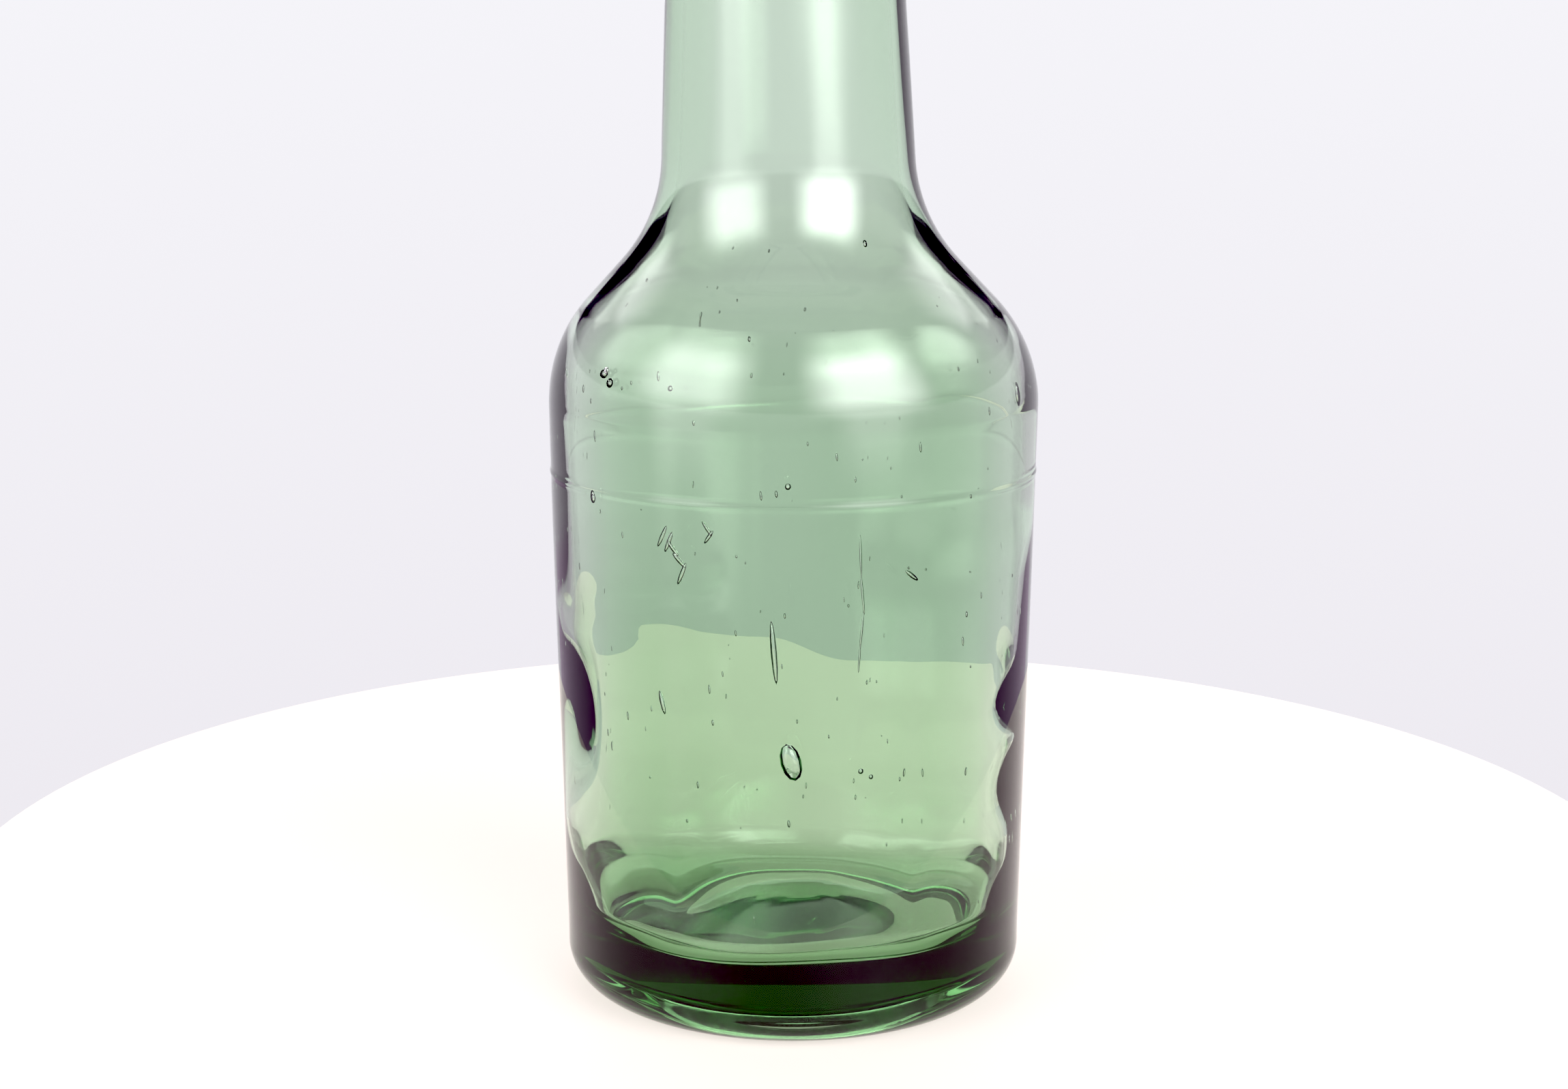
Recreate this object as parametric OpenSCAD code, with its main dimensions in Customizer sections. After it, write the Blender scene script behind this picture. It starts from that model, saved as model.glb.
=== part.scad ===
// Small round-shouldered soda bottle of thick mould-blown glass, shut by a swing-top closure:
// a porcelain stopper with a rubber ring, held by a wire bail and a toggle lever that turns in
// the eyes of a wire collar. Origin: centre of the resting plane. Front (thumb loop): -Y.

/* [Bottle] */
// Height of the glass, from the resting plane to the top of the lip
bottle_h = 180; // [172:1:220]
// Largest diameter of the body, just above the horizontal mould seam
body_d = 62.3; // [56:0.1:74]
// Diameter of the body just above the heel
heel_d = 59.2; // [54:0.1:74]
// Height of the horizontal mould seam, where the body ends and the shoulder starts
seam_h = 68; // [55:1:82]
// Height of the heel rounding
heel_r = 6; // [4:0.5:8]

/* [Glass thickness] */
// Wall of the body
wall_t = 4; // [3:0.1:5]
// Glass under the floor of the cavity
base_t = 9.5; // [7:0.5:12]
// Depth of the hollow under the base
push_up = 2.2; // [1:0.1:3]
// Radius of the corner between the floor and the wall of the cavity
floor_corner_r = 4; // [2:0.5:6]

/* [Neck and lip] */
// Diameter of the neck where it leaves the shoulder
neck_d = 32.05; // [28:0.05:36]
// Narrowing of the neck's diameter for each millimetre of height
neck_taper = 0.104; // [0.09:0.002:0.11]
// Diameter of the lip
lip_d = 28; // [27:0.1:29]
// Diameter of the mouth
mouth_d = 17; // [16.4:0.1:18]

/* [Closure] */
// Diameter of the wires
wire_d = 2.2; // [1.8:0.1:2.4]
// Running clearance of a wire in an eye or hole, on the radius
wire_gap = 0.06; // [0.03:0.01:0.1]
// Distance between the lever's pivot and the bail's pivot
toggle_throw = 8; // [7:0.5:9]
// Angle by which the shut lever is past its dead centre
over_centre = 4; // [2:1:8]
// Thickness of the rubber washer
washer_t = 4.5; // [3.5:0.1:5]
// Diameter of the rubber washer
washer_d = 23.2; // [21:0.1:24]

/* [Hidden] */
$fn = 96;
glass_colour = [0.62, 0.75, 0.62, 0.5];
wire_colour = [0.62, 0.61, 0.58];
arc_steps = 12;

body_r = body_d / 2;
seam_step = 0.2;        // how far the seam stands out of the body just below it
seam_half_h = 0.5;
shoulder_r = 19.5;      // convex rounding of the shoulder
shoulder_lean = 43;     // steepest lean of the shoulder from upright
neck_blend_r = 20;      // concave rounding between shoulder and neck
neck_r = neck_d / 2;
neck_lean = atan(neck_taper / 2);
shoulder_z = seam_h + 8.3; // centre height of the convex rounding
rest_r = heel_d / 2 - heel_r;  // outer edge of the resting ring
push_r = rest_r - 3;           // inner edge of the resting ring
lip_r = lip_d / 2;
mouth_r = mouth_d / 2;
lip_h = 14;
lip_round = 3;
lip_foot_round = 1.5;
mouth_round = 1.6;
bore_h = 12;            // parallel stretch of the mouth's bore
bore_flare_h = 26;      // below the lip, where the bore meets the neck's even wall
finish_wall = wall_t - 0.4;
floor_crown = 0.8;      // rise of the cavity's floor in its middle

// The straight of the shoulder joins the two roundings and runs at shoulder_lean.
convex_c = [body_r - shoulder_r, shoulder_z];
convex_end = convex_c + shoulder_r * [cos(shoulder_lean), sin(shoulder_lean)];
concave_start_r = neck_r + neck_blend_r * (cos(neck_lean) - cos(shoulder_lean));
straight_rise = (convex_end[0] - concave_start_r) / tan(shoulder_lean);
neck_z = convex_end[1] + straight_rise
    + neck_blend_r * (sin(shoulder_lean) - sin(neck_lean));
concave_c = [neck_r + neck_blend_r * cos(neck_lean), neck_z + neck_blend_r * sin(neck_lean)];

// Closure heights hang from the lip.
wire_r = wire_d / 2;
hole_r = wire_r + wire_gap;
pivot_z = bottle_h - 19;
groove_gap = 0.1;
collar_r = neck_at(pivot_z) + wire_r / 3;
eye_r = hole_r + wire_d;              // outside of an eye
eye_w = wire_d + 0.1;
ball_r = wire_r + 0.16;               // corner of a bent wire, a little fuller than the wire
eye_root = hole_r + 0.6 * wire_d;     // a wire joins an eye this far from its centre
eye_x = collar_r + wire_d * 0.8;
lever_x = eye_x + wire_d + 0.3;
bail_x = lever_x + wire_d + 0.4;
toggle_p = [toggle_throw * sin(over_centre), pivot_z - toggle_throw * cos(over_centre)];
seal_gap = 0.15;
washer_z = bottle_h + seal_gap;
flange_z = washer_z + washer_t;
cross_h = 4.25;
cross_z = flange_z + cross_h;         // the bail's cross wire through the stopper
spigot_r = 6.5;
washer_gap = 0.05;
stopper_r = 12;
stopper_h = 9.5;
nose_h = 2.2;

function neck_at(z) = neck_r - (z - neck_z) * neck_taper / 2;
function arc(c, r, a0, a1, n = arc_steps) =
    [for (i = [0:n]) c + r * [cos(a0 + (a1 - a0) * i / n), sin(a0 + (a1 - a0) * i / n)]];
function unit(v) = v / norm(v);

// Outside of the glass, from the middle of the base to the bore of the mouth.
function outer_line() = concat(
    [for (i = [0:6]) [push_r * i / 6, push_up * (1 - pow(i / 6, 2))]],
    arc([rest_r, heel_r], heel_r, -90, 0),
    [[body_r - seam_step, seam_h - seam_half_h], [body_r, seam_h],
     [body_r - seam_step / 2, seam_h + seam_half_h]],
    arc(convex_c, shoulder_r, 0, shoulder_lean),
    arc(concave_c, neck_blend_r, 180 + shoulder_lean, 180 + neck_lean),
    [[neck_at(bottle_h - lip_h - 1), bottle_h - lip_h - 1]],
    arc([lip_r - lip_foot_round, bottle_h - lip_h + lip_foot_round], lip_foot_round, -60, 0, 4),
    arc([lip_r - lip_round, bottle_h - lip_round], lip_round, 0, 90),
    arc([mouth_r + mouth_round, bottle_h - mouth_round], mouth_round, 90, 180, 8));

// Inside of the glass, from the mouth down to the middle of the floor.
function inner_line() = let (
        inner_heel_r = heel_d / 2 - wall_t,
        inner_blend_r = neck_blend_r + finish_wall,
        inner_convex_r = shoulder_r - wall_t
    ) concat(
    [[mouth_r, bottle_h - bore_h],
     [neck_at(bottle_h - bore_flare_h) - finish_wall, bottle_h - bore_flare_h]],
    arc(concave_c, inner_blend_r, 180 + neck_lean, 180 + shoulder_lean),
    arc(convex_c, inner_convex_r, shoulder_lean, 0),
    arc([inner_heel_r - floor_corner_r, base_t + floor_corner_r], floor_corner_r, 0, -90, 8),
    [[0, base_t + floor_crown]]);

// An eye: a turn of wire about the X axis, with a true bore for the wire that turns in it.
module eye(p) {
    translate(p) rotate([0, 90, 0]) difference() {
        cylinder(r = eye_r, h = eye_w, center = true, $fn = 48);
        cylinder(r = hole_r, h = eye_w + 2, center = true, $fn = 48);
    }
}

// A straight length of wire from one point to another. The side vectors are askew so that
// the seam of its round face stays clear of the corners' own edges.
module straight(a, b) {
    w = unit(b - a);
    side = abs(w[2]) < 0.9 ? unit([0.2, 0.5, 1]) : unit([1, 0.4, 0.1]);
    u = unit(cross(side, w));
    v = cross(w, u);
    multmatrix([[u[0], v[0], w[0], a[0]], [u[1], v[1], w[1], a[1]], [u[2], v[2], w[2], a[2]]])
        cylinder(r = wire_r, h = norm(b - a), $fn = 32);
}

// The ball at a corner: its poles stand square to the bend, and its seam is on the outside.
module corner_ball(p, d1, d2) {
    u = unit(d1 - d2);
    w = unit(cross(d1, d2));
    v = cross(w, u);
    multmatrix([[u[0], v[0], w[0], p[0]], [u[1], v[1], w[1], p[1]], [u[2], v[2], w[2], p[2]]])
        sphere(r = ball_r, $fn = 32);
}

// Wire through a list of points, with a ball at each corner.
module wire(points) {
    last = len(points) - 1;
    dirs = [for (i = [0:last - 1]) unit(points[i + 1] - points[i])];
    for (i = [0:last - 1]) straight(points[i], points[i + 1]);
    for (i = [1:1:last - 1]) corner_ball(points[i], dirs[i - 1], dirs[i]);
}

module both_sides() {
    children();
    mirror([1, 0, 0]) children();
}

module bottle_glass() {
    color(glass_colour) difference() {
        rotate_extrude() polygon(concat(outer_line(), inner_line()));
        translate([0, 0, pivot_z]) rotate_extrude()
            translate([collar_r, 0]) circle(r = wire_r + groove_gap, $fn = 32);
    }
}

// The mirror image of a path, in reverse order, so that it carries on across the X = 0 plane.
function mirrored(path) =
    [for (i = [len(path) - 1:-1:0]) [-path[i][0], path[i][1], path[i][2]]];

// Collar in the groove under the lip, with an eye at each side and its bent end at the back.
module neck_wire() {
    tail_y = collar_r + 4;
    color(wire_colour) {
        translate([0, 0, pivot_z]) rotate_extrude()
            translate([collar_r, 0]) circle(r = wire_r, $fn = 32);
        both_sides() eye([eye_x, 0, pivot_z]);
        wire([[0, collar_r + wire_r / 3, pivot_z], [0, tail_y, pivot_z],
              [0, tail_y, pivot_z - 8]]);
    }
}

// Lever: pivot ends in the collar's eyes, an eye for each end of the bail, a thumb loop in front.
module lever_wire() {
    pivot = [lever_x, 0, pivot_z];
    toggle = [lever_x, toggle_p[0], toggle_p[1]];
    arm = [[lever_x, -9, pivot_z - 14.5], [14.5, -15.5, pivot_z - 19.5],
           [9.5, -18.7, pivot_z - 23.5], [8, -19.4, pivot_z - 28], [5.5, -19.7, pivot_z - 30.5]];
    half = concat([toggle + unit(arm[0] - toggle) * eye_root], arm);
    color(wire_colour) {
        both_sides() {
            wire([[collar_r + wire_r + 0.2, 0, pivot_z], pivot,
                  toggle + unit(pivot - toggle) * eye_root]);
            eye(toggle);
        }
        wire(concat(half, mirrored(half)));
    }
}

// Bail: hooked into the lever's eyes below, and through the stopper's cross hole above.
module bail_wire() {
    toe_x = lever_x - eye_w / 2 - 0.3;
    corner = 4;
    half = [[toe_x, toggle_p[0], toggle_p[1]], [bail_x, toggle_p[0], toggle_p[1]],
            [bail_x, 0, cross_z - corner], [bail_x - corner, 0, cross_z]];
    color(wire_colour) wire(concat(half, mirrored(half)));
}

// Porcelain stopper: domed head with a cross hole, a spigot for the washer and a tapered nose.
module stopper() {
    color("ivory") difference() {
        rotate_extrude() polygon(concat(
            [[0, washer_z - nose_h], [spigot_r - 1.9, washer_z - nose_h],
             [spigot_r, washer_z - 0.8], [spigot_r, flange_z], [stopper_r, flange_z],
             [stopper_r, flange_z + 2]],
            arc([stopper_r - 5, flange_z + 2.5], 5, 0, 50, 6),
            arc([4.5, flange_z + stopper_h - 2.5], 2.5, 50, 90, 5),
            [[0, flange_z + stopper_h]]));
        translate([0, 0, cross_z]) rotate([0, 90, 0])
            cylinder(r = hole_r, h = 2 * stopper_r + 2, center = true);
    }
}

module washer() {
    color("firebrick") translate([0, 0, washer_z]) difference() {
        cylinder(d = washer_d, h = washer_t);
        translate([0, 0, -1]) cylinder(r = spigot_r + washer_gap, h = washer_t + 2);
    }
}

bottle_glass();
neck_wire();
lever_wire();
bail_wire();
stopper();
washer();
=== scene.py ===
"""Small soda bottle of thick, pale green mould-blown glass with a swing-top closure.

The glass, the wires, the stopper and its washer are surfaces worked out with numpy, in
millimetres, and put into meshes in metres. They stand in the same frame as the CAD model:
+Z up from the resting plane, the thumb loop of the lever towards -Y.
"""

import bpy
import numpy as np
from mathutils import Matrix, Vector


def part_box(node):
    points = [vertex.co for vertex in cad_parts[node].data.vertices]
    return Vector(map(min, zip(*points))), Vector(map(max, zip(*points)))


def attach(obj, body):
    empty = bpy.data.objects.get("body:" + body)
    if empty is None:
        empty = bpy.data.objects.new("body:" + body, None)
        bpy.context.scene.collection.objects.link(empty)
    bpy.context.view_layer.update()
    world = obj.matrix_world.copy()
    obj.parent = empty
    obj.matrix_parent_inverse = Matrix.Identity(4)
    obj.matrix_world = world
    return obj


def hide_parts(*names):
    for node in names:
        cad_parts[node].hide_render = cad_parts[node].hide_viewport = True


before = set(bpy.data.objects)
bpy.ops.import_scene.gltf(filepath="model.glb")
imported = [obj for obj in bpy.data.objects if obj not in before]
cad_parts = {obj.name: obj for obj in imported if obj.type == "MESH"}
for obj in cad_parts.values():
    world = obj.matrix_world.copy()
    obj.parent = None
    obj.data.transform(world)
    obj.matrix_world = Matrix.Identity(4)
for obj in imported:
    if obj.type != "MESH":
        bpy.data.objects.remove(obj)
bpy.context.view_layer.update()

MM = 0.001
TURN = 2 * np.pi

# ---------------------------------------------------------------- sizes, in millimetres

BODY_R, _, BOTTLE_H = np.array(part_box("bottle_glass")[1]) / MM
HEEL_R = 6.0            # rounding of the heel
HEEL_BODY_R = 29.6      # body just above the heel
SEAM_Z = 68.0           # horizontal mould seam
SHOULDER_Z = 76.3       # centre of the shoulder's convex rounding
SHOULDER_R = 19.5       # of that rounding
SHOULDER_LEAN = 43.0    # degrees from upright
BLEND_R = 20.0          # concave rounding between shoulder and neck
NECK_R = 16.025
NECK_Z = 107.07         # foot of the neck
NECK_TAPER = 0.052      # of the radius, for each millimetre of height
REST_R = HEEL_BODY_R - HEEL_R   # outer edge of the resting ring
RECESS_R = REST_R - 3.0         # edge of the flat hollow under the base
RECESS_UP = 3.2                 # its depth
RECESS_SIDE = 1.0               # width of its steep side
LIP_R = 14.0
LIP_H = 14.0            # height of the lip's band
MOUTH_R = 8.5
BASE_T = 9.5            # height of the floor over the table
FLOOR_CORNER_R = 4.5
FLOOR_DOME = 2.2        # how far the floor stands up in the middle
NECK_WALL = 2.6
BODY_WALL = 4.6
HEEL_WALL = 4.9
NECK_LEAN = 0.022       # of the hand-finished neck to the left, for each millimetre up

WIRE_R = 1.1
PIVOT_Z = BOTTLE_H - 19             # the lever's pivot and the collar
TOGGLE = [0.558, PIVOT_Z - 7.981]   # Y and Z of the bail's pivot in the lever
COLLAR_R = 13.585                   # of the collar's centre line
EYE_X = 15.345                      # middle of the collar's eye
LEVER_X = 17.845                    # middle of the lever's eye
BAIL_X = 20.445                     # the bail's upright legs
CROSS_Z = BOTTLE_H + 8.9            # the bail's cross wire
EYE_WIND_R = 2 * WIRE_R + 0.1       # a wire wound round another
WASHER_Z = BOTTLE_H + 0.15          # underside of the washer
WASHER_T = 4.5
WASHER_R = 11.6
SPIGOT_R = 6.5                      # the stopper's plug inside the washer
STOPPER_R = 12.0
STOPPER_TOP = WASHER_Z + WASHER_T + 9.5

# ---------------------------------------------------------------- light

DIM_ROOM = (0.07, 0.045, 0.08, 1.0)     # over the backdrop, faintly purple
ROOM_FLOOR = (0.72, 0.62, 0.74, 1.0)    # under it
# Each window: degrees from the front towards +X, half widths full and faded, and how bright
# its tall upper part and its low part are.
WINDOWS = [(-52, 10, 38, 7.0, 2.0), (38, 10, 38, 11.0, 2.4)]
BACK_LIGHT = 2.5                        # a soft box over the backdrop
BLACK_LEVEL = (0.05, 0.06, 0.05)        # light below this shows as black

# ---------------------------------------------------------------- mesh helpers

def smooth_object(name, points_mm, faces):
    """A smooth-shaded mesh at the origin, from points in millimetres."""
    mesh = bpy.data.meshes.new(name)
    mesh.from_pydata((points_mm * MM).tolist(), [], faces)
    mesh.polygons.foreach_set("use_smooth", np.ones(len(mesh.polygons), dtype=bool))
    mesh.update()
    made = bpy.data.objects.new(name, mesh)
    bpy.context.scene.collection.objects.link(made)
    return made


def mesh_piece(name, points_mm, faces, body, slot, replaced):
    """A piece of the bottle that rides on a body and stands for a CAD node."""
    piece = smooth_object(name, points_mm, faces)
    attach(piece, body)
    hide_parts(replaced)
    return piece


def grid_faces(rows, columns, closed=False):
    """Quads of a grid whose columns close into a ring, and its rows too if closed, wound so
    that a profile that runs outwards and upwards, turned anticlockwise about +Z, faces
    outwards."""
    row, column = np.meshgrid(np.arange(rows if closed else rows - 1), np.arange(columns),
                              indexing="ij")
    below, right = (row + 1) % rows, (column + 1) % columns
    return np.stack([row * columns + column, row * columns + right,
                     below * columns + right, below * columns + column], axis=-1).reshape(-1, 4)


def capped_faces(rows, columns):
    """Quads of a tube of rings, and a fan of triangles from a pole at each end. The poles
    are numbered after the rings."""
    ring = np.arange(columns)
    after = (ring + 1) % columns
    pole = np.full(columns, rows * columns)
    last_row = (rows - 1) * columns
    first_fan = np.stack([pole, after, ring], axis=-1)
    last_fan = np.stack([pole + 1, last_row + ring, last_row + after], axis=-1)
    return grid_faces(rows, columns).tolist() + first_fan.tolist() + last_fan.tolist()


def revolved(radius, height, columns, centre=(0.0, 0.0)):
    """Points and faces of a profile turned about Z: radius times cosine and sine of the turn,
    and height. Both are arrays by row, or by row and column. The first and last rows close
    into single points on the axis."""
    angle = np.arange(columns) * TURN / columns
    rows = len(height)
    radius = radius.reshape(rows, -1)
    height = height.reshape(rows, -1) + 0 * angle
    points = np.stack([radius * np.cos(angle) + centre[0],
                       radius * np.sin(angle) + centre[1], height], axis=-1)
    poles = points[[0, -1]].mean(axis=1)
    return np.vstack([points[1:-1].reshape(-1, 3), poles]), capped_faces(rows - 2, columns)


def arc(centre, radius, start, end, count):
    """Points on a circle from one angle to another, in degrees from the outward direction."""
    angle = np.radians(np.linspace(start, end, count))
    return np.stack([centre[0] + radius * np.cos(angle),
                     centre[1] + radius * np.sin(angle)], axis=-1)


def line(start, end, count):
    """Points evenly spaced from start to end, without the end."""
    return np.linspace(start, end, count, endpoint=False)


def smooth_step(value, low, high):
    """0 below low, 1 above high, and 3t^2 - 2t^3 between them."""
    t = np.clip((value - low) / (high - low), 0, 1)
    return t * t * (3 - 2 * t)


def bump(value, centre, width):
    """A bell: exp(-((value - centre) / width)^2)."""
    return np.exp(-((value - centre) / width) ** 2)


def unit(vectors):
    """The vectors, each divided by its length."""
    return vectors / np.linalg.norm(vectors, axis=-1, keepdims=True)


# ---------------------------------------------------------------- glass

def neck_radius(z):
    """Outside of the neck: a straight taper from NECK_R at its foot."""
    return NECK_R - (z - NECK_Z) * NECK_TAPER


def shoulder_curve():
    """Centres of the shoulder's two roundings, convex and concave, which meet in a straight
    that leans by SHOULDER_LEAN, and the neck's own lean in degrees."""
    lean = np.radians(SHOULDER_LEAN)
    neck_lean = np.arctan(NECK_TAPER)
    convex = np.array([BODY_R - SHOULDER_R, SHOULDER_Z])
    top = convex + SHOULDER_R * np.array([np.cos(lean), np.sin(lean)])
    start_r = NECK_R + BLEND_R * (np.cos(neck_lean) - np.cos(lean))
    neck_z = (top[1] + (top[0] - start_r) / np.tan(lean)
              + BLEND_R * (np.sin(lean) - np.sin(neck_lean)))
    concave = np.array([NECK_R + BLEND_R * np.cos(neck_lean),
                        neck_z + BLEND_R * np.sin(neck_lean)])
    return convex, concave, np.degrees(neck_lean)


def outer_profile():
    """Outside of the glass from the middle of the base up to the mouth: the recess under
    the base, the resting ring, arcs and straights, then the lip's roundings."""
    convex, concave, neck_lean = shoulder_curve()
    side_foot = RECESS_R - RECESS_SIDE
    r = np.concatenate([np.linspace(0, side_foot, 8), np.linspace(side_foot, RECESS_R, 13)[1:-1]])
    base = np.stack([r, RECESS_UP * (1 - smooth_step(r, side_foot, RECESS_R))], axis=-1)
    seam = np.linspace(SEAM_Z - 1.2, SEAM_Z + 1.2, 14)
    seam_r = BODY_R - 0.2 + 0.12 * bump(seam, SEAM_Z, 0.4) + 0.05 * smooth_step(seam, 67, 69)
    foot = BOTTLE_H - LIP_H
    return np.vstack([
        base, line([RECESS_R, 0.0], [REST_R, 0.0], 4),
        arc([REST_R, HEEL_R], HEEL_R, -90, 0, 26),
        line([HEEL_BODY_R + 0.02, HEEL_R + 0.8], [BODY_R - 0.2, SEAM_Z - 1.8], 58),
        np.stack([seam_r, seam], axis=-1),
        arc(convex, SHOULDER_R, 0, SHOULDER_LEAN, 30)[1:],
        arc(concave, BLEND_R, 180 + SHOULDER_LEAN, 180 + neck_lean, 26),
        line([neck_radius(109), 109], [neck_radius(PIVOT_Z - 2), PIVOT_Z - 2], 34),
        arc([COLLAR_R, PIVOT_Z], WIRE_R + 0.1, 250, 110, 9),
        line([neck_radius(foot - 2), foot - 2], [neck_radius(foot - 0.8), foot - 0.8], 3),
        arc([LIP_R - 1.5, foot + 1.5], 1.5, -70, 0, 7),
        line([LIP_R, foot + 2.2], [LIP_R, BOTTLE_H - 3.4], 8),
        arc([LIP_R - 3, BOTTLE_H - 3], 3, 0, 90, 14),
        arc([MOUTH_R + 1.6, BOTTLE_H - 1.6], 1.6, 90, 180, 10)])


def inner_profile():
    """Inside of the glass from the mouth down to the middle of the floor: the parallel bore,
    its flare into the neck, and arcs and straights a wall's thickness inside the outer ones,
    then the floor's corner and its low dome."""
    convex, concave, neck_lean = shoulder_curve()
    inner_r = HEEL_BODY_R - HEEL_WALL
    corner_r, corner_z = inner_r - FLOOR_CORNER_R, BASE_T + FLOOR_CORNER_R
    r = np.linspace(corner_r - 0.8, 0, 22)
    floor = np.stack([r, BASE_T + FLOOR_DOME * (1 - smooth_step(r, 2, 18))], axis=-1)
    flare = BOTTLE_H - 26
    flare_r, foot_r = neck_radius(flare) - NECK_WALL, neck_radius(108.5) - NECK_WALL
    return np.vstack([
        line([MOUTH_R, BOTTLE_H - 3], [MOUTH_R, BOTTLE_H - 12], 8),
        line([MOUTH_R, BOTTLE_H - 12], [flare_r, flare], 12),
        line([flare_r, flare], [foot_r, 108.5], 30),
        arc(concave, BLEND_R + NECK_WALL, 180 + neck_lean, 180 + SHOULDER_LEAN, 24),
        shoulder_inside(convex, NECK_WALL + 0.2, BODY_WALL),
        line([BODY_R - BODY_WALL, SHOULDER_Z - 1], [inner_r, corner_z], 66),
        arc([corner_r, corner_z], FLOOR_CORNER_R, 0, -86, 20),
        floor])


def shoulder_inside(convex, top_wall, foot_wall):
    """Inside of the shoulder's convex rounding: the wall grows from its top to its foot."""
    angle = np.radians(np.linspace(SHOULDER_LEAN, 0, 28))
    t = 1 - angle / angle[0]
    radius = SHOULDER_R - top_wall - (foot_wall - top_wall) * t
    return np.stack([convex[0] + radius * np.cos(angle), convex[1] + radius * np.sin(angle)],
                    axis=-1)


def crook(z):
    """How far the hand-finished neck stands off to the left, by height: a straight lean
    from the shoulder up, and back over the bottle's middle before the wire's groove."""
    return NECK_LEAN * np.clip(z - 78, 0, 48) * (1 - smooth_step(z, 128, 156))


def waves(angle, z, seed, count, height_mm, spread):
    """A sum of smooth travelling cosines with random phases: k turns round the bottle and
    a wavelength of height_mm or more up it, each weaker as it gets shorter."""
    rng = np.random.default_rng(seed)
    total = np.zeros(np.broadcast(angle, z).shape)
    for k in range(1, count + 1):
        phase, rise, drift = rng.uniform(0, TURN, 3)
        pitch = height_mm * rng.uniform(1, 2.2)
        total += (np.cos(k * angle + phase + 0.6 * np.sin(z / pitch + drift))
                  * np.cos(z / pitch * 2 + rise)) / k ** spread
    return total


def side_wall(z):
    """The wall at the left and the right by height, in millimetres: how much thicker it is
    than at the front, and how fast it thickens towards the back. That wedge keeps light in
    the wall, so it looks dark."""
    heel = 1.4 * smooth_step(z, 19, 12)
    left = 1.6 * bump(z, 38, 7.5) - 0.5 * bump(z, 22, 4) + heel
    right = 1.5 * bump(z, 40, 2.8) + 1.0 * bump(z, 28.5, 4.5) - 0.4 * bump(z, 34, 3) + heel
    shoulder = smooth_step(z, 74, 84)
    neck = smooth_step(z, 96, 106)
    left_wedge = 2.1 * smooth_step(z, 52, 46) + 0.15 * shoulder + 0.3 * neck
    right_wedge = 2.1 * smooth_step(z, 63, 57) + 0.4 * shoulder + 1.2 * neck
    return left, right, left_wedge, right_wedge


def outside(angle):
    """Radius and height of the outside by row and column: the turned profile with a faint
    mould ripple, long dents and, on the neck, streaks that run up it."""
    profile = outer_profile()
    r, z = profile[:, :1], profile[:, 1:]
    free = smooth_step(z, 2.5, 9) * (1 - smooth_step(z, 150, 158))
    ripple = 0.02 * waves(angle, z, 3, 7, 9.0, 0.6)
    dents = 0.04 * waves(angle, z, 5, 3, 26.0, 0.8) - 0.09
    streaks = 0.005 * waves(angle, z, 7, 22, 40.0, 0.15) - 0.02
    return r + free * (ripple + dents + smooth_step(z, 94, 106) * streaks), z + 0 * angle


def inside(angle):
    """Radius and height of the inside by row and column: the turned profile, thinner beside
    the middle, plus side_wall(), the waves of blown glass, a front wall that thickens and
    thins with height, and an uneven corner and dimples at the floor."""
    profile = inner_profile()
    r, z = profile[:, :1], profile[:, 1:]
    rightwards, backwards = np.cos(angle), np.sin(angle)
    side = np.abs(rightwards)
    beside, outermost = smooth_step(side, 0.55, 0.93), smooth_step(side, 0.8, 0.97)
    in_front = smooth_step(-backwards, 0.1, 0.5)
    above_floor, below_finish = smooth_step(z, 10.5, 13.5), 1 - smooth_step(z, 145, 160)

    left, right, left_wedge, right_wedge = side_wall(z)
    thicker = np.where(rightwards < 0, left, right) * outermost - 2.5 * beside
    wedge = np.where(rightwards < 0, left_wedge, right_wedge) * backwards * side ** 6
    foot_of_neck = 0.2 * bump(z, 98, 9) * beside

    swirl = (0.04 * waves(angle, z, 11, 4, 20.0, 0.7)
             + 0.008 * waves(angle, z, 12, 9, 5.0, 0.3)) * (1 - 0.75 * beside)
    streaks = 0.012 * waves(angle, z, 17, 16, 45.0, 0.2) * smooth_step(z, 94, 106)
    slope = (0.021 + 0.022 * smooth_step(-rightwards, 0.2, 0.7)
             - 0.046 * smooth_step(rightwards, -0.1, 0.25))
    front_wall = slope * in_front * 14 * np.tanh((z - 54) / 14) * (1 - smooth_step(z, 64, 90))
    stray = below_finish * smooth_step(z, 9.6, 20) * (swirl + streaks + front_wall)

    corner = bump(r, HEEL_BODY_R - 7, 4.5) * (1 - smooth_step(z, 11, 22))
    uneven = corner * (0.7 * np.cos(2 * angle + 0.5) + 0.5 * np.cos(3 * angle - 1.1)
                       + 0.35 * np.cos(5 * angle + 0.7))
    dimples = (0.03 * waves(angle, r, 21, 4, 4.0, 0.6) * smooth_step(r, 2, 16)
               * (1 - smooth_step(z, 11, 14)))
    radius = (r + stray - above_floor * (1 - smooth_step(z, 84, 100)) * thicker + foot_of_neck
              - above_floor * below_finish * wedge * r / HEEL_BODY_R - 0.3 * uneven)
    return radius, z + 0.5 * uneven + dimples


def glass_surface(columns):
    """The closed surface of the glass: outside() from the middle of the base to the mouth,
    inside() back down to the middle of the floor, turned about Z and moved by crook()."""
    angle = (np.arange(columns) * TURN / columns)[None, :]
    outer_r, outer_z = outside(angle)
    inner_r, inner_z = inside(angle)
    radius, height = np.vstack([outer_r, inner_r]), np.vstack([outer_z, inner_z])
    radius[0] = radius[-1] = 0
    points, faces = revolved(radius, height, columns)
    points[:, 0] -= crook(points[:, 2])
    return points, faces


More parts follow.
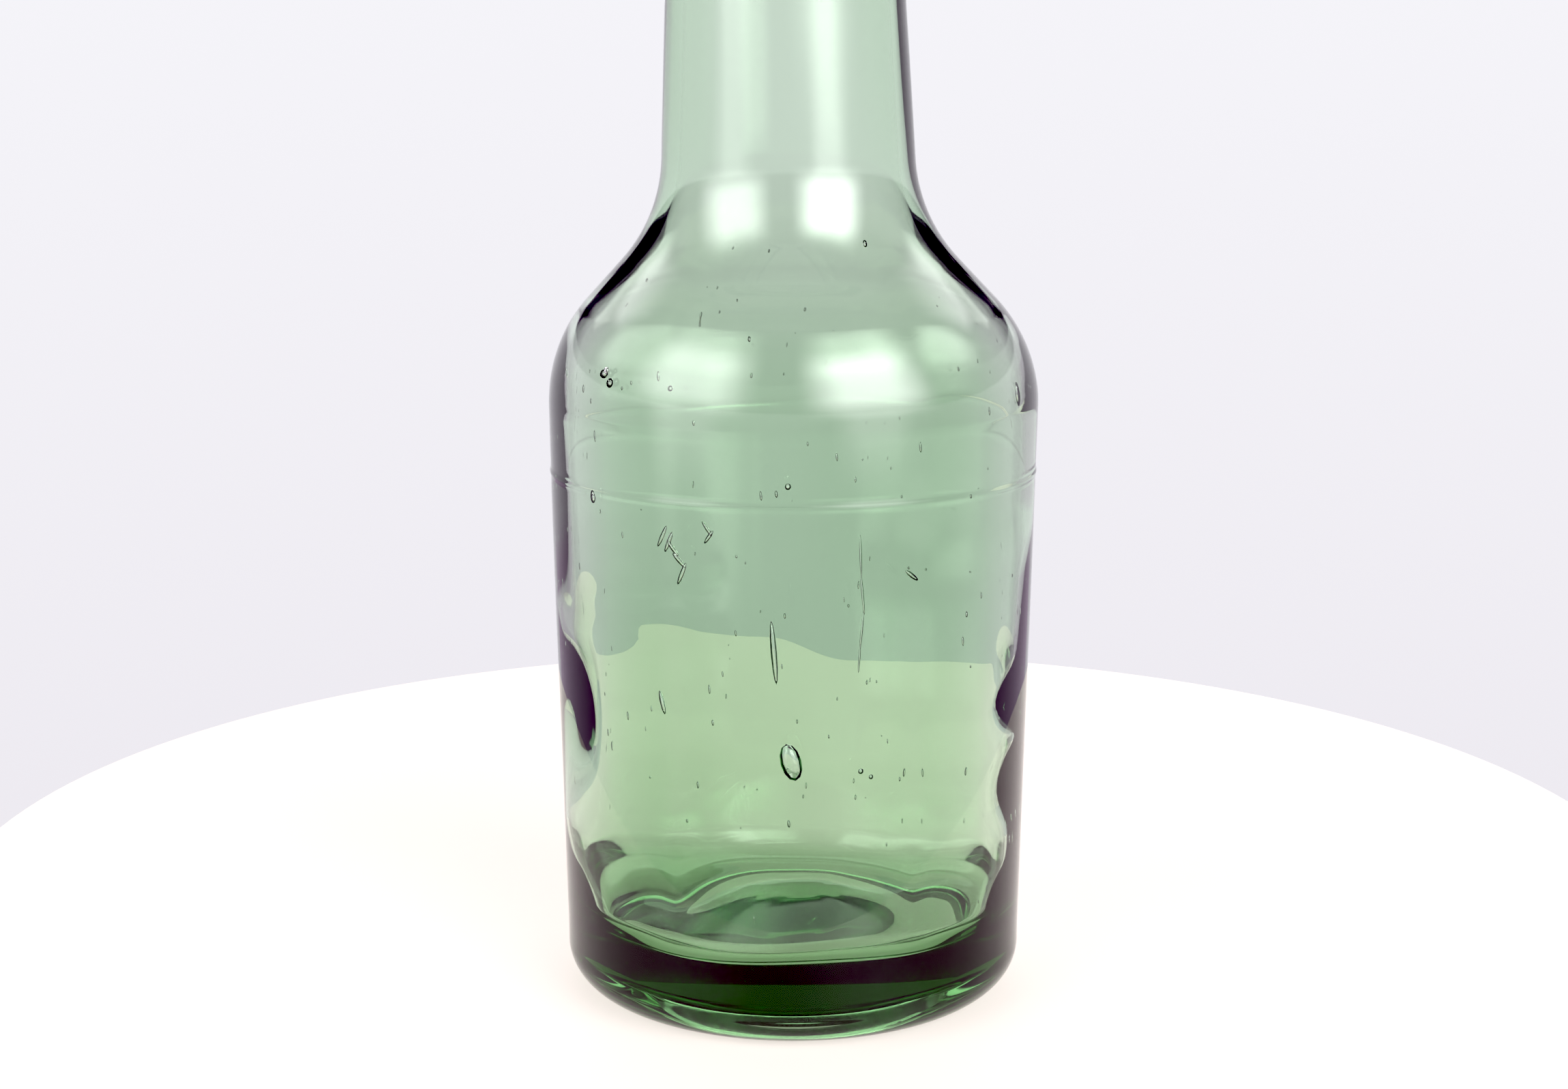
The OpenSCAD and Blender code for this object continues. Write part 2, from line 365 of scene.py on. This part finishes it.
def bubble(centre, half_axes, tilt, columns=8, rows=5):
    """An ellipsoid of air: half axes along the radius, round the bottle and up it, tilted in
    the wall's own plane. Its faces point into the air, away from the glass."""
    radius_at, angle, z = centre
    a, b, c = half_axes
    latitude = np.linspace(-np.pi / 2, np.pi / 2, rows + 2)
    points, faces = revolved(np.cos(latitude), np.sin(latitude), columns)
    deep, along, up = points[:, 0] * a, points[:, 1] * b, points[:, 2] * c
    side = along * np.cos(tilt) - up * np.sin(tilt)
    rise = along * np.sin(tilt) + up * np.cos(tilt)
    turned = angle + side / radius_at
    shell = np.stack([(radius_at + deep) * np.cos(turned),
                      (radius_at + deep) * np.sin(turned), z + rise], axis=-1)
    return shell, [face[::-1] for face in faces]


def bubbles():
    """Air in the glass: the few large bubbles of this bottle, each with its place in the
    wall, and a seeded scatter of pinheads that were drawn out as the glass was blown."""
    # Radius, degrees from the front towards +X, height, half axes deep, wide and tall, tilt.
    degrees_from_front = [
        (29.3, -0.5, 37.1, 0.45, 1.25, 2.35, 0.25), (29.6, -4.4, 50.6, 0.35, 0.4, 3.9, 0.08),
        (29.4, -49.6, 82.3, 0.7, 0.7, 0.6, 0.0), (29.4, -47.2, 81.3, 0.6, 0.55, 0.6, 0.0),
        (29.9, -48.2, 82.9, 0.4, 0.4, 0.4, 0.0), (29.6, -28.9, 81.5, 0.35, 0.35, 0.35, 0.0),
        (30.0, -30.9, 63.9, 0.25, 0.28, 1.5, -0.45), (30.0, -29.2, 63.3, 0.25, 0.3, 1.4, -0.4),
        (30.0, -28.2, 62.6, 0.25, 0.3, 1.2, 0.7), (30.0, -26.6, 61.2, 0.25, 0.3, 1.2, 0.8),
        (30.0, -25.9, 59.6, 0.25, 0.3, 1.5, -0.4), (30.0, -19.6, 65.3, 0.25, 0.25, 1.1, 0.6),
        (30.0, -19.2, 64.3, 0.25, 0.25, 1.0, -0.6), (29.9, 27.8, 59.3, 0.3, 0.3, 1.1, 0.9),
        (29.9, -1.2, 70.6, 0.3, 0.4, 0.4, 0.0), (29.6, -31.8, 43.4, 0.3, 0.35, 1.5, 0.25),
        (29.6, 64.3, 79.0, 0.5, 0.6, 1.5, 0.1), (29.3, 15.9, 35.7, 0.25, 0.35, 0.35, 0.0),
        (29.3, 18.4, 34.9, 0.25, 0.3, 0.3, 0.0), (18.2, 27.8, 97.6, 0.35, 0.3, 0.5, 0.0),
        (30.2, -52.5, 67.3, 0.4, 0.5, 0.8, 0.0), (30.3, 15.1, 62.2, 0.1, 0.16, 2.6, 0.04),
        (30.3, 15.6, 57.6, 0.1, 0.16, 2.6, 0.10), (30.2, 15.5, 53.2, 0.1, 0.16, 2.4, -0.08),
        (30.2, 15.0, 49.8, 0.1, 0.14, 1.8, -0.06)]
    placed = [((r, np.radians(a - 90), z), (deep, wide, tall), tilt)
              for r, a, z, deep, wide, tall, tilt in degrees_from_front]
    rng = np.random.default_rng(8)
    count = 190
    angle = rng.uniform(0, TURN, count)
    z = rng.uniform(12, 96, count)
    size = rng.uniform(0.07, 0.19, count)
    stretch = rng.uniform(1.0, 4.5, count)
    depth = rng.uniform(0.7, 1.6, count)
    going_up = outer_profile()[20:200]
    wall_r = np.interp(z, going_up[:, 1], going_up[:, 0])
    placed += [((r - d, t, h), (s, s, s * f), 0.1) for r, d, t, h, s, f
               in zip(wall_r, depth, angle, z, size, stretch)]
    return placed


def joined(parts):
    """Points and faces of several closed surfaces, numbered as one mesh."""
    points, faces, first = [], [], 0
    for part_points, part_faces in parts:
        points.append(part_points)
        faces += [[first + corner for corner in face] for face in part_faces]
        first += len(part_points)
    return np.vstack(points), faces


def make_glass():
    """The bottle's wall and the air bubbles in it, as one mesh of closed shells."""
    shells = [glass_surface(184)] + [bubble(*where) for where in bubbles()]
    points, faces = joined(shells)
    return mesh_piece("bottle_glass_blown", points, faces, "bottle", "glass", "bottle_glass")


# ---------------------------------------------------------------- wires

def rounded_path(corners, bend, step=0.35):
    """A path through corners, each rounded by an arc of radius bend, or less where it would
    take nearly half of a straight: straight to the arc's start, round it about its centre,
    and on. Its points are evenly spaced, about step apart."""
    corners = [np.array(corner, dtype=float) for corner in corners]
    points = [corners[0][None, :]]
    for before, corner, after in zip(corners, corners[1:], corners[2:]):
        coming, going = unit(corner - before), unit(after - corner)
        shorter = min(np.linalg.norm(corner - before), np.linalg.norm(after - corner))
        turn = np.arccos(np.clip(coming @ going, -1, 1))
        radius = min(bend, 0.48 * shorter / np.tan(turn / 2))
        inward = unit(going - (coming @ going) * coming)
        centre = corner - coming * radius * np.tan(turn / 2) + inward * radius
        t = np.linspace(0, turn, 33)[:, None]
        points.append(centre + radius * (np.sin(t) * coming - np.cos(t) * inward))
    points.append(corners[-1][None, :])
    points = np.vstack(points)
    along = np.concatenate([[0], np.cumsum(np.linalg.norm(np.diff(points, axis=0), axis=1))])
    even = np.linspace(0, along[-1], int(along[-1] / step) + 2)
    return np.stack([np.interp(even, along, points[:, axis]) for axis in range(3)], axis=-1)


def tube_rings(centres, radii, side, up, columns=20):
    """Circles round the centres, one a row: centre + radius * (cos t * side + sin t * up)."""
    t = (np.arange(columns) * TURN / columns)[None, :, None]
    return (centres[:, None, :] + np.reshape(radii, (-1, 1, 1))
            * (np.cos(t) * side[:, None, :] + np.sin(t) * up[:, None, :]))


def swept(path, radius):
    """A round wire along an open path: circles square to it, each with one direction square
    to the path's flattest direction too, and three smaller circles and a point at each end."""
    tangent = unit(np.gradient(path, axis=0))
    flattest = np.linalg.svd(path - path.mean(axis=0), full_matrices=False)[2][-1]
    side = unit(np.cross(tangent, flattest))
    up = np.cross(tangent, side)
    cap = radius * np.array([1.0, 0.82, 0.5])
    inset = radius * np.array([0.0, 0.12, 0.25])[:, None]
    centres = np.vstack([path[:1], path[0] + tangent[0] * inset, path[1:-1],
                         path[-1] - tangent[-1] * inset[::-1], path[-1:]])
    radii = np.concatenate([[0], cap[::-1], np.full(len(path) - 2, radius), cap, [0]])
    ends = np.r_[np.zeros(4, int), np.arange(1, len(path) - 1), np.full(4, len(path) - 1)]
    rings = tube_rings(centres, radii, side[ends], up[ends])
    points = np.vstack([rings[1:-1].reshape(-1, 3), centres[[0, -1]]])
    return points, capped_faces(len(rings) - 2, rings.shape[1])


def swept_ring(path, radius):
    """A round wire along a flat closed path: circles square to it, each with one direction
    away from the path's middle."""
    tangent = unit(np.roll(path, -1, axis=0) - np.roll(path, 1, axis=0))
    side = path - path.mean(axis=0)
    side = unit(side - (side * tangent).sum(axis=1)[:, None] * tangent)
    rings = tube_rings(path, radius, side, np.cross(tangent, side))
    return rings.reshape(-1, 3), grid_faces(*rings.shape[:2], closed=True).tolist()


def eye(centre):
    """A turn of wire about the X axis, round another wire."""
    t = np.arange(36) * TURN / 36
    circle = np.stack([0 * t, np.cos(t), np.sin(t)], axis=-1)
    return swept_ring(np.array(centre) + EYE_WIND_R * circle, WIRE_R)


def mirrored(path):
    """The path's mirror image across the X = 0 plane, run backwards."""
    return np.array(path)[::-1] * np.array([-1, 1, 1])


def make_neck_wire():
    """The collar in its groove, an eye at each side, and the wire's end bent down behind."""
    t = np.arange(180) * TURN / 180
    collar = np.stack([COLLAR_R * np.sin(t), COLLAR_R * np.cos(t), PIVOT_Z + 0 * t], axis=-1)
    tail = rounded_path([[0, COLLAR_R + 0.3, PIVOT_Z], [0, COLLAR_R + 4, PIVOT_Z],
                         [0, COLLAR_R + 4, PIVOT_Z - 8]], 1.6)
    parts = [swept_ring(collar, WIRE_R), eye([-EYE_X, 0, PIVOT_Z]), eye([EYE_X, 0, PIVOT_Z]),
             swept(tail, WIRE_R)]
    return mesh_piece("collar_wire", *joined(parts), "bottle", "wire", "neck_wire")


def make_lever():
    """Each side's pivot end, its turn round the bail's end, and the thumb loop in front."""
    pivot = [LEVER_X, 0, PIVOT_Z]
    toggle = np.array([LEVER_X, *TOGGLE])
    arm = [[LEVER_X, -9, PIVOT_Z - 14.5], [14.5, -15.5, PIVOT_Z - 19.5],
           [9.5, -18.7, PIVOT_Z - 23.5], [8, -19.4, PIVOT_Z - 28], [5.5, -19.7, PIVOT_Z - 30.5]]
    post = rounded_path([[COLLAR_R + WIRE_R + 0.2, 0, PIVOT_Z], pivot,
                         toggle + [0, 0, EYE_WIND_R]], 1.5)
    parts = []
    for flip in (np.array([1, 1, 1]), np.array([-1, 1, 1])):
        parts += [swept(post * flip, WIRE_R), eye(toggle * flip)]
    half = [toggle + unit(np.array(arm[0]) - toggle) * EYE_WIND_R] + arm
    parts.append(swept(rounded_path(half + list(mirrored(half)), 16), WIRE_R))
    return mesh_piece("toggle_lever_wire", *joined(parts), "lever", "wire", "lever_wire")


def make_bail():
    """The bail: hooked ends, upright legs, and the cross wire through the stopper."""
    toe = LEVER_X - 1.45
    half = [[toe, *TOGGLE], [BAIL_X, *TOGGLE], [BAIL_X, 0, CROSS_Z - 4], [BAIL_X - 4, 0, CROSS_Z]]
    path = rounded_path(half + list(mirrored(half)), 3.2)
    return mesh_piece("stopper_bail_wire", *swept(path, WIRE_R), "bail", "wire", "bail_wire")


# ---------------------------------------------------------------- stopper and washer

def make_stopper():
    """Porcelain: a turned profile of straights and roundings, from the spigot's end up over
    the flange and the dome."""
    flange = WASHER_Z + WASHER_T
    tip, top = WASHER_Z - 2.2, STOPPER_TOP
    profile = np.vstack([
        [[0, tip]], line([0.5, tip], [SPIGOT_R - 2.6, tip], 6),
        arc([SPIGOT_R - 2.6, WASHER_Z - 1.5], 0.7, -90, -30, 6),
        line([SPIGOT_R - 1.6, WASHER_Z - 1.6], [SPIGOT_R - 0.2, WASHER_Z - 0.9], 5),
        line([SPIGOT_R, WASHER_Z - 0.6], [SPIGOT_R, flange - 0.05], 8),
        line([SPIGOT_R + 0.1, flange], [STOPPER_R - 0.6, flange], 8),
        arc([STOPPER_R - 0.6, flange + 0.6], 0.6, -90, 0, 8),
        line([STOPPER_R, flange + 0.8], [STOPPER_R, flange + 2.2], 5),
        arc([STOPPER_R - 5, flange + 2.4], 5, 0, 52, 18),
        arc([4.6, top - 2.45], 2.45, 52, 90, 12)[1:],
        line([4.4, top], [0.4, top], 8), [[0, top]]])
    points, faces = revolved(profile[:, 0], profile[:, 1], 96)
    return mesh_piece("porcelain_stopper", points, faces, "stopper", "porcelain", "stopper")


def make_washer():
    """Rubber: a ring whose section is a rounded box, cos and sin of the angle each raised to
    a small power and kept in sign, turned about Z."""
    bore_r, half_t, power, rim, columns = SPIGOT_R + 0.06, WASHER_T / 2, 0.28, 40, 96
    angle = np.arange(rim) * TURN / rim
    across = np.sign(np.cos(angle)) * np.abs(np.cos(angle)) ** power * (WASHER_R - bore_r) / 2
    rise = np.sign(np.sin(angle)) * np.abs(np.sin(angle)) ** power * half_t
    turn = (np.arange(columns) * TURN / columns)[:, None]
    radius = (bore_r + WASHER_R) / 2 + across[None, :]
    points = np.stack([radius * np.cos(turn), radius * np.sin(turn),
                       WASHER_Z + half_t + rise[None, :] + 0 * turn], axis=-1).reshape(-1, 3)
    quads = grid_faces(columns, rim, closed=True)[:, [0, 3, 2, 1]]
    return mesh_piece("rubber_washer", points, quads.tolist(), "stopper", "rubber", "washer")


# ---------------------------------------------------------------- materials

def linear(hex_colour):
    """An sRGB hex colour as linear red, green, blue and alpha."""
    value = np.array([int(hex_colour[i:i + 2], 16) for i in (1, 3, 5)]) / 255
    value = np.where(value <= 0.04045, value / 12.92, ((value + 0.055) / 1.055) ** 2.4)
    return (*value.tolist(), 1.0)


def add(tree, kind, settings=None, **links):
    """One node of a kind. Settings are properties, or input values by name or number; links
    join this node's inputs, by name with underscores for spaces or by i and their number,
    to another node's output."""
    node = tree.nodes.new(kind)
    for name, value in (settings or {}).items():
        if isinstance(name, int) or (name in node.inputs and not hasattr(node, name)):
            node.inputs[name].default_value = value
        else:
            setattr(node, name, value)
    for name, output in links.items():
        key = int(name[1:]) if name[0] == "i" and name[1:].isdigit() else name.replace("_", " ")
        tree.links.new(output, node.inputs[key])
    return node


def new_material(name):
    """A node material with only its output, and the tree to build in."""
    material = bpy.data.materials.new(name)
    material.use_nodes = True
    tree = material.node_tree
    tree.nodes.clear()
    return material, tree, add(tree, "ShaderNodeOutputMaterial")


def soda_glass():
    """Soda-lime bottle glass, blown in an iron mould: clear green from iron in the sand,
    deeper where it is thick, and glossy, a little dulled by handling in patches of about
    17 mm. The green is absorption, by millimetre of glass. Its waviness is in the mesh."""
    material, tree, output = new_material("soda_lime_glass")
    place = add(tree, "ShaderNodeTexCoord")
    patches = add(tree, "ShaderNodeTexNoise", {"Scale": 60.0, "Detail": 3.0},
                  Vector=place.outputs["Object"])
    dulled = add(tree, "ShaderNodeMapRange", {"From Min": 0.5, "From Max": 0.75, "To Max": 0.03},
                 Value=patches.outputs["Fac"])
    shader = add(tree, "ShaderNodeBsdfPrincipled",
                 {"Base Color": (1, 1, 1, 1), "IOR": 1.52, "Transmission Weight": 1.0},
                 Roughness=dulled.outputs["Result"])
    tint = add(tree, "ShaderNodeVolumeAbsorption",
               {"Color": (0.02, 0.45, 0.0, 1.0), "Density": 94.0})
    tree.links.new(shader.outputs["BSDF"], output.inputs["Surface"])
    tree.links.new(tint.outputs["Volume"], output.inputs["Volume"])
    return material


def tinned_wire():
    """Steel wire, drawn and tinned: a soft grey shine with duller specks about 1 mm across."""
    material, tree, output = new_material("tinned_steel_wire")
    place = add(tree, "ShaderNodeTexCoord")
    specks = add(tree, "ShaderNodeTexNoise", {"Scale": 900.0, "Detail": 4.0},
                 Vector=place.outputs["Object"])
    colour = add(tree, "ShaderNodeValToRGB", {}, Fac=specks.outputs["Fac"])
    colour.color_ramp.elements[0].position = 0.35
    colour.color_ramp.elements[0].color = linear("#9C9893")
    colour.color_ramp.elements[1].position = 0.6
    colour.color_ramp.elements[1].color = linear("#B9B6B0")
    rough = add(tree, "ShaderNodeMapRange", {"To Min": 0.28, "To Max": 0.5},
                Value=specks.outputs["Fac"])
    bumps = add(tree, "ShaderNodeBump", {"Strength": 0.05, "Distance": 0.00005},
                Height=specks.outputs["Fac"])
    shader = add(tree, "ShaderNodeBsdfPrincipled", {"Metallic": 1.0},
                 Base_Color=colour.outputs["Color"], Roughness=rough.outputs["Result"],
                 Normal=bumps.outputs["Normal"])
    tree.links.new(shader.outputs["BSDF"], output.inputs["Surface"])
    return material


def glazed_porcelain():
    """White porcelain, cast and fired under a clear glaze: faintly cream and cloudy over
    about 8 mm, with the glaze's sharp shine over it."""
    material, tree, output = new_material("glazed_porcelain")
    place = add(tree, "ShaderNodeTexCoord")
    cloud = add(tree, "ShaderNodeTexNoise", {"Scale": 120.0, "Detail": 3.0},
                Vector=place.outputs["Object"])
    colour = add(tree, "ShaderNodeValToRGB", {}, Fac=cloud.outputs["Fac"])
    colour.color_ramp.elements[0].position = 0.3
    colour.color_ramp.elements[0].color = linear("#E2DBCB")
    colour.color_ramp.elements[1].position = 0.7
    colour.color_ramp.elements[1].color = linear("#EFEBE0")
    bumps = add(tree, "ShaderNodeBump", {"Strength": 0.1, "Distance": 0.0003},
                Height=cloud.outputs["Fac"])
    shader = add(tree, "ShaderNodeBsdfPrincipled",
                 {"Roughness": 0.28, "Coat Weight": 1.0, "Coat Roughness": 0.05},
                 Base_Color=colour.outputs["Color"], Normal=bumps.outputs["Normal"])
    tree.links.new(shader.outputs["BSDF"], output.inputs["Surface"])
    return material


def red_rubber():
    """Red-brown rubber, moulded and matt, with a dusty bloom in spots of 2 to 3 mm."""
    material, tree, output = new_material("red_rubber")
    place = add(tree, "ShaderNodeTexCoord")
    bloom = add(tree, "ShaderNodeTexNoise", {"Scale": 400.0, "Detail": 5.0},
                Vector=place.outputs["Object"])
    colour = add(tree, "ShaderNodeValToRGB", {}, Fac=bloom.outputs["Fac"])
    colour.color_ramp.elements[0].position = 0.3
    colour.color_ramp.elements[0].color = linear("#8A3A28")
    colour.color_ramp.elements[1].position = 0.75
    colour.color_ramp.elements[1].color = linear("#AB5B45")
    bumps = add(tree, "ShaderNodeBump", {"Strength": 0.2, "Distance": 0.0002},
                Height=bloom.outputs["Fac"])
    shader = add(tree, "ShaderNodeBsdfPrincipled", {"Roughness": 0.75},
                 Base_Color=colour.outputs["Color"], Normal=bumps.outputs["Normal"])
    tree.links.new(shader.outputs["BSDF"], output.inputs["Surface"])
    return material


def white_laminate():
    """A plain white table top, smooth and nearly matt, lit a little from inside as a light
    table is, so that glass standing on it gets light from below."""
    material, tree, output = new_material("white_laminate")
    shader = add(tree, "ShaderNodeBsdfPrincipled",
                 {"Base Color": linear("#8A8784"), "Roughness": 0.6,
                  "Emission Color": (1.0, 0.91, 0.86, 1.0), "Emission Strength": 0.74})
    tree.links.new(shader.outputs["BSDF"], output.inputs["Surface"])
    return material


# ---------------------------------------------------------------- stage

def make_table():
    """A round table top whose upper face is the resting plane: a disc with a rounded edge."""
    radius, thickness, edge = 127.3, 12.0, 2.5
    centre = (1.6, 55.5)
    profile = np.vstack([
        [[0, -thickness]], line([10, -thickness], [radius - edge, -thickness], 4),
        arc([radius - edge, -thickness + edge], edge, -90, 0, 8),
        arc([radius - edge, -edge], edge, 0, 90, 12),
        line([radius - edge - 1, 0], [10, 0], 6), [[0, 0]]])
    sunk = 0.02     # so that the base and the table don't share a plane
    points, faces = revolved(profile[:, 0], profile[:, 1] - sunk, 160, centre)
    table = smooth_object("table_top", points, faces)
    return table


def fade(tree, value, centre, full, gone):
    """1 where a value is within `full` of the centre, easing to 0 where it is `gone` off."""
    off = add(tree, "ShaderNodeMath", {"operation": "SUBTRACT", 1: centre}, i0=value)
    size = add(tree, "ShaderNodeMath", {"operation": "ABSOLUTE"}, i0=off.outputs[0])
    return add(tree, "ShaderNodeMapRange",
               {"interpolation_type": "SMOOTHSTEP", "From Min": gone, "From Max": full},
               Value=size.outputs[0]).outputs["Result"]


def studio_world():
    """The room. A pale backdrop runs round at eye level, from a little below to a little
    above; over and under it the room is dim, and two soft windows shine in from the front.
    The camera sees the backdrop's paper all round, as it would with the paper close behind.
    Each light is a fade() by height times a fade() by angle round the room."""
    world = bpy.data.worlds.new("studio")
    bpy.context.scene.world = world
    world.use_nodes = True
    tree = world.node_tree
    tree.nodes.clear()
    output = add(tree, "ShaderNodeOutputWorld")
    place = add(tree, "ShaderNodeTexCoord")
    axes = add(tree, "ShaderNodeSeparateXYZ", {}, Vector=place.outputs["Generated"])
    x, y, z = axes.outputs["X"], axes.outputs["Y"], axes.outputs["Z"]
    front = add(tree, "ShaderNodeMath", {"operation": "MULTIPLY", 1: -1}, i0=y).outputs[0]
    height = add(tree, "ShaderNodeMath", {"operation": "ARCSINE"}, i0=z).outputs[0]
    from_back = add(tree, "ShaderNodeMath", {"operation": "ARCTAN2"}, i0=x, i1=y).outputs[0]
    from_front = add(tree, "ShaderNodeMath", {"operation": "ARCTAN2"}, i0=x, i1=front).outputs[0]
    deg = np.pi / 180

    pale = add(tree, "ShaderNodeMapRange", {"From Min": -0.35, "From Max": 0.12}, Value=z)
    card = add(tree, "ShaderNodeMix", {"data_type": "RGBA", "A": linear("#EDEAF0"),
                                       "B": linear("#F8F8FC")},
               Factor=pale.outputs["Result"]).outputs["Result"]
    level = fade(tree, height, -1.5 * deg, 9.5 * deg, 11 * deg)
    middle = add(tree, "ShaderNodeMath", {"operation": "MULTIPLY"},
                 i0=fade(tree, from_back, 0, 20 * deg, 24 * deg),
                 i1=fade(tree, height, -12 * deg, 20 * deg, 22 * deg)).outputs[0]
    either = add(tree, "ShaderNodeMath", {"operation": "MAXIMUM"}, i0=level, i1=middle)
    over = add(tree, "ShaderNodeMapRange", {"From Min": -0.02, "From Max": 0.02}, Value=z)
    dim = add(tree, "ShaderNodeMix", {"data_type": "RGBA", "A": ROOM_FLOOR, "B": DIM_ROOM},
              Factor=over.outputs["Result"])
    room = add(tree, "ShaderNodeMix", {"data_type": "RGBA"}, Factor=either.outputs[0], B=card)
    tree.links.new(dim.outputs["Result"], room.inputs["A"])
    paper = add(tree, "ShaderNodeBackground", {"Strength": 1.0}, Color=room.outputs["Result"])

    high = fade(tree, height, 29 * deg, 9 * deg, 27 * deg)
    low = fade(tree, height, 0, 6 * deg, 12 * deg)
    above = fade(tree, height, 46 * deg, 12 * deg, 18 * deg)
    lights = [(fade(tree, from_back, 0, 50 * deg, 70 * deg), above, BACK_LIGHT)]
    for centre, full, gone, tall, short in WINDOWS:
        wide = fade(tree, from_front, centre * deg, full * deg, gone * deg)
        narrow = fade(tree, from_front, centre * deg, 0.6 * full * deg, 0.6 * gone * deg)
        lights += [(wide, high, tall), (narrow, low, short)]
    glow = None
    for across, part, bright in lights:
        shape = add(tree, "ShaderNodeMath", {"operation": "MULTIPLY"}, i0=across, i1=part)
        light = add(tree, "ShaderNodeMath", {"operation": "MULTIPLY", 1: bright},
                    i0=shape.outputs[0])
        both = add(tree, "ShaderNodeMath", {"operation": "ADD", 1: 0.0}, i0=light.outputs[0])
        if glow is not None:
            tree.links.new(glow, both.inputs[1])
        glow = both.outputs[0]
    windows = add(tree, "ShaderNodeBackground", {"Color": (1, 1, 1, 1)}, Strength=glow)
    seen = add(tree, "ShaderNodeAddShader", {}, i0=paper.outputs[0], i1=windows.outputs[0])
    plain = add(tree, "ShaderNodeBackground", {"Strength": 1.0}, Color=card)
    path = add(tree, "ShaderNodeLightPath")
    pick = add(tree, "ShaderNodeMixShader", {}, i0=path.outputs["Is Camera Ray"],
               i1=seen.outputs[0], i2=plain.outputs[0])
    tree.links.new(pick.outputs[0], output.inputs["Surface"])


def make_camera():
    """Straight in front and a little above, looking down by 11 degrees."""
    down, aside = np.radians(11.21), 0.0035
    data = bpy.data.cameras.new("camera")
    data.sensor_width = 36.0
    data.lens = 61.84
    camera = bpy.data.objects.new("camera", data)
    camera.location = (0, -0.3399, 0.1251)
    camera.rotation_euler = (np.pi / 2 - down, 0, aside)
    bpy.context.scene.collection.objects.link(camera)
    bpy.context.scene.camera = camera


# ---------------------------------------------------------------- the whole

glass = make_glass()
glass.data.materials.append(soda_glass())
wire = tinned_wire()
for piece in (make_neck_wire(), make_lever(), make_bail()):
    piece.data.materials.append(wire)
make_stopper().data.materials.append(glazed_porcelain())
make_washer().data.materials.append(red_rubber())

make_table().data.materials.append(white_laminate())
studio_world()
view = bpy.context.scene.view_settings
view.view_transform = "Standard"
view.use_curve_mapping = True
view.curve_mapping.black_level = BLACK_LEVEL
view.curve_mapping.update()
make_camera()
